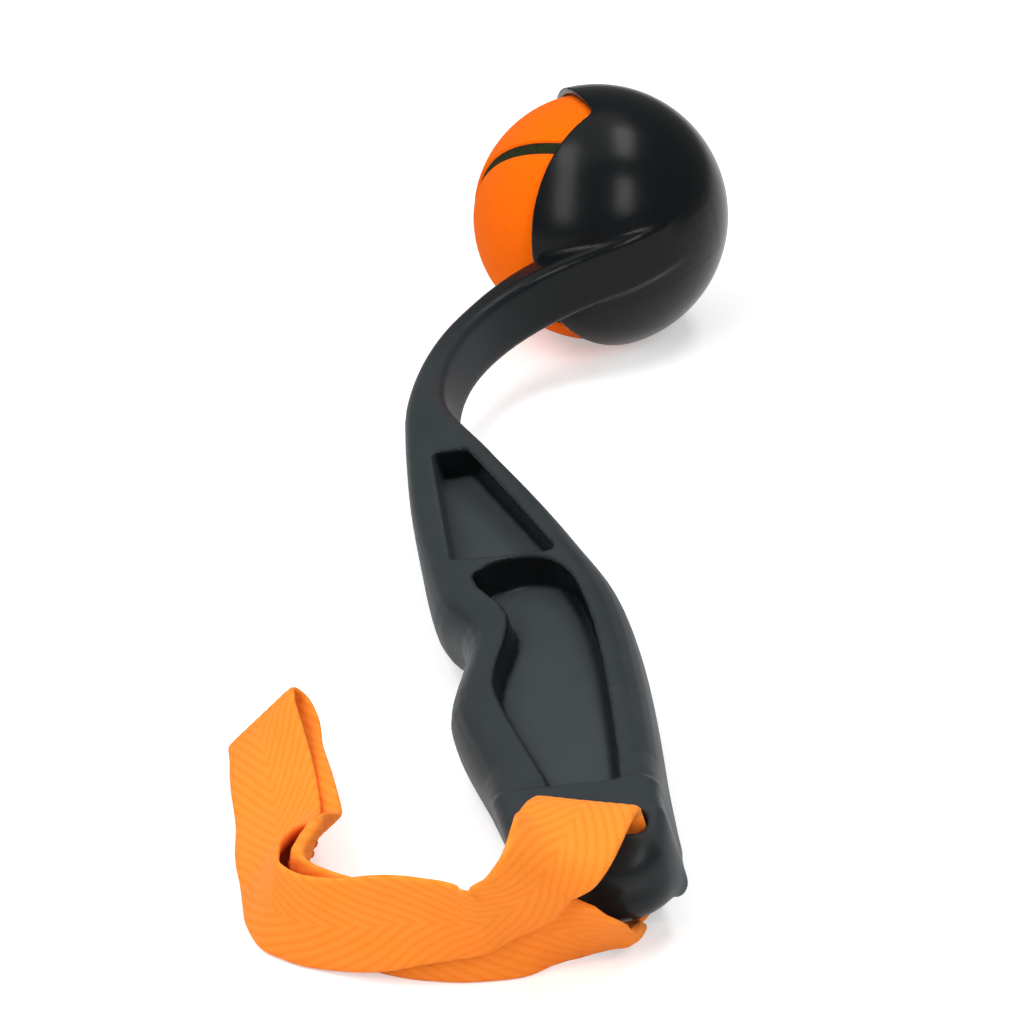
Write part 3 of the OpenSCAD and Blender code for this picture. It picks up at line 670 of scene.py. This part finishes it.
def orange_felt():
    mat = Nodes("orange_felt")
    spot = mat.object_place()
    nap = mat.noise(spot, 1500.0, 4.0, 0.7)
    tuft = mat.noise(spot, 420.0, 3.0, 0.6)
    cloud = mat.noise(spot, 70.0, 2.0)
    height = mat.math("ADD", mat.math("MULTIPLY", nap, 0.6), mat.math("MULTIPLY", tuft, 0.4))
    # the colour follows the nap's height, which also makes the bump: darker low in the nap as painted shade
    # and lighter on the tips as painted light; the cloud noise adds random tone
    tone = mat.math("ADD", mat.math("MULTIPLY", height, 0.8), mat.math("MULTIPLY", cloud, 0.2))
    root, nap_top, tip = (0.93, 0.125, 0.0), (1.0, 0.150, 0.0), (1.0, 0.175, 0.001)
    colour = mat.ramp(tone, ((0.25, root), (0.5, nap_top), (0.8, tip)))
    mat.join(colour, mat.shader.inputs["Base Color"])
    mat.bump(height, 0.25, 0.0005)
    mat.set(Roughness=0.95, Sheen_Weight=0.12, Sheen_Roughness=0.5)
    mat.shader.inputs["Specular IOR Level"].default_value = 0.1
    mat.shader.inputs["Sheen Tint"].default_value = (1.0, 0.5, 0.2, 1.0)
    return mat.material


ball_r = 0.0328
felt_under = 0.0293
seam_half = 0.00175
seam_top = 0.0321
seam_dip = 0.00012
felt_round = 0.0009
seam_bend = 0.25
seam_count = 480
ball_spin, ball_tip, ball_roll = math.radians(49), math.radians(-27), math.radians(-90)
ball_turn = (
    Matrix.Rotation(-lie_turn, 3, "Y")
    @ Matrix.Rotation(ball_spin, 3, "Z")
    @ Matrix.Rotation(ball_tip, 3, "Y")
    @ Matrix.Rotation(ball_roll, 3, "X")
)


def seam_line(t):
    """The seam on a ball of radius 1."""
    x = (1 - seam_bend) * np.cos(t) + seam_bend * np.cos(3 * t)
    y = (1 - seam_bend) * np.sin(t) - seam_bend * np.sin(3 * t)
    return np.stack([x, y, 2 * math.sqrt(seam_bend * (1 - seam_bend)) * np.sin(2 * t)], -1)


def beside_seam(t, off):
    """The line that runs beside the seam at a distance, on a ball of radius 1."""
    side = unit(np.cross(seam_line(t), seam_line(t + 0.005) - seam_line(t - 0.005)))
    return unit(seam_line(t) + off / ball_r * side)


def ball_mesh(name, points, faces):
    """A mesh of the ball, turned and set in the cup, with nothing under the floor."""
    turned = np.array(points) @ np.array(ball_turn).T + np.array(ball_centre)
    turned[:, 2] = np.maximum(turned[:, 2], 0)
    mesh = bpy.data.meshes.new(name)
    mesh.from_pydata(turned.tolist(), [], faces)
    mesh.polygons.foreach_set("use_smooth", [True] * len(mesh.polygons))
    mesh.validate()
    return mesh


def build_panel(name, side):
    """A dog-bone panel: rays run from its middle to its edge, and the edge is rolled down to the cement."""
    t = np.arange(seam_count) * 2 * math.pi / seam_count
    edge = beside_seam(t, side * seam_half)
    fine_edge = beside_seam(np.arange(6 * seam_count) * 2 * math.pi / (6 * seam_count), side * seam_half)
    pole = np.array([0, 0, side])
    angle = np.arccos(np.clip(edge @ pole, -1, 1))[:, None]
    steps = 64
    rings = []
    for k in range(1, steps + 1):
        share = 1 - (1 - k / steps) ** 1.6
        ray = (np.sin((1 - share) * angle) * pole + np.sin(share * angle) * edge) / np.sin(angle)
        apart = np.full(seam_count, 1.0)
        if share > 0.5:
            cosine = np.clip((ray @ fine_edge.T).max(1), -1, 1)
            apart = np.arccos(cosine) * ball_r
        roll = np.clip(felt_round - apart, 0, felt_round)
        top = ball_r - felt_round + np.sqrt(felt_round ** 2 - roll ** 2)
        rings.append(ray * top[:, None])
    for share in (1, 0.9, 0.7, 0.5, 0.3, 0.1):
        ray = (np.sin((1 - share) * angle) * pole + np.sin(share * angle) * edge) / np.sin(angle)
        rings.append(ray * felt_under)
    points = np.concatenate(rings + [[pole * ball_r, pole * felt_under]])
    last = len(rings) - 1
    top_mid, low_mid = len(points) - 2, len(points) - 1
    faces = []
    for j in range(seam_count):
        h = (j + 1) % seam_count
        faces.append((top_mid, j, h))
        faces.append((last * seam_count + h, last * seam_count + j, low_mid))
        for i in range(last):
            a, b = i * seam_count, (i + 1) * seam_count
            faces.append((a + j, b + j, b + h, a + h))
    if side < 0:
        faces = [f[::-1] for f in faces]
    return ball_mesh(name, points, faces)


felt = orange_felt()
for side, letter in ((1, "a"), (-1, "b")):
    panel = place("felt_cover_" + letter, build_panel("felt_cover_" + letter, side), felt)
    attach(panel, "ball")
    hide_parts("felt_panel_" + letter)


def build_seam():
    """A bead of cement that fills the gap between the panels, with a slightly hollow top."""
    t = np.arange(seam_count) * 2 * math.pi / seam_count
    offs = np.linspace(-1, 1, 11)
    section = [(o * seam_half, seam_top - seam_dip * (1 - o * o)) for o in offs]
    section += [(seam_half, felt_under), (-seam_half, felt_under)]
    points = np.concatenate([beside_seam(t, off) * high for off, high in section])
    faces = []
    for i in range(len(section)):
        a, b = i * seam_count, (i + 1) % len(section) * seam_count
        for j in range(seam_count):
            h = (j + 1) % seam_count
            faces.append((a + j, a + h, b + h, b + j))
    return ball_mesh("seam_cement_bead", points, faces)


def seam_cement():
    mat = Nodes("dark_seam_cement")
    grain = mat.noise(mat.object_place(), 900.0, 4.0)
    colour = mat.ramp(grain, ((0.3, (0.012, 0.018, 0.006)), (0.7, (0.022, 0.030, 0.012))))
    mat.join(colour, mat.shader.inputs["Base Color"])
    mat.bump(grain, 0.3, 0.0002)
    mat.set(Roughness=0.85)
    mat.shader.inputs["Specular IOR Level"].default_value = 0.1
    return mat.material


seam = place("seam_cement_bead", build_seam(), seam_cement())
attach(seam, "ball")
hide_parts("felt_seam")

# Floor
# A plain sheet of white paper. It glows a little to the camera and in gloss, so that it shows white, and it
# keeps the soft shadow.
floor_size = 40.0
floor_glow = 0.40
floor_mesh = bpy.data.meshes.new("studio_floor")
corner = floor_size / 2
floor_corners = [(-corner, -corner, 0), (corner, -corner, 0), (corner, corner, 0), (-corner, corner, 0)]
floor_mesh.from_pydata(floor_corners, [], [(0, 1, 2, 3)])
paper = Nodes("white_paper")
paper.set(Base_Color=(0.86, 0.86, 0.86, 1.0), Roughness=0.9)
paper.shader.inputs["Specular IOR Level"].default_value = 0.0
path_kind = paper.add("ShaderNodeLightPath")
seen = paper.math("MAXIMUM", path_kind.outputs["Is Camera Ray"], path_kind.outputs["Is Glossy Ray"])
seen = paper.math("MAXIMUM", seen, path_kind.outputs["Is Transmission Ray"])
glow = paper.add("ShaderNodeEmission")
paper.join(paper.math("MULTIPLY", seen, floor_glow), glow.inputs["Strength"])
both = paper.add("ShaderNodeAddShader")
paper.join(paper.shader.outputs[0], both.inputs[0])
paper.join(glow.outputs[0], both.inputs[1])
paper.join(both.outputs[0], paper.tree.nodes["Material Output"].inputs["Surface"])
floor = place("studio_floor", floor_mesh, paper.material)

# Light
# A wide soft box overhead, a pair of strip lamps on the left and a pair on the right, whose reflections stand
# on the cup as two streaks, and a pale room.
room = bpy.data.worlds.new("pale_room")
room.use_nodes = True
bpy.context.scene.world = room
backdrop = room.node_tree.nodes["Background"]
backdrop.inputs["Strength"].default_value = 0.20
backdrop.inputs["Color"].default_value = (1.0, 1.0, 1.0, 1.0)


def soft_box(name, spot, aim, wide, tall, power, upright):
    """A flat lamp at a spot that faces its aim, with its height turned to the given direction."""
    lamp = bpy.data.lights.new(name, "AREA")
    lamp.shape = "RECTANGLE"
    lamp.size = wide
    lamp.size_y = tall
    lamp.energy = power
    box = bpy.data.objects.new(name, lamp)
    back = (Vector(spot) - Vector(aim)).normalized()
    side = Vector(upright).cross(back).normalized()
    turn = Matrix((side, back.cross(side), back)).transposed()
    box.matrix_world = Matrix.Translation(Vector(spot)) @ turn.to_4x4()
    bpy.context.collection.objects.link(box)


def strip(name, low, high, wide, power):
    """A strip lamp between two points, which faces the cup."""
    low, high = Vector(low), Vector(high)
    tall = high - low
    soft_box(name, (low + high) / 2, ball_centre, wide, tall.length, power, tall)


soft_box("overhead_box", (-0.1, 0.25, 1.3), (0.0, 0.0, 0.0), 1.4, 1.2, 4.6, (0.0, 1.0, 0.0))
strip("strip_left_low", (-0.61, -0.60, 0.29), (-0.49, -0.27, 0.81), 0.25, 3.0)
strip("strip_left_high", (-0.49, -0.27, 0.81), (-0.30, 0.20, 0.96), 0.25, 2.4)
strip("strip_right_low", (0.22, -0.76, 0.43), (0.29, -0.45, 0.80), 0.20, 2.5)
strip("strip_right_high", (0.33, -0.14, 0.94), (0.37, 0.35, 0.95), 0.20, 2.3)
bpy.context.scene.view_settings.view_transform = "Standard"
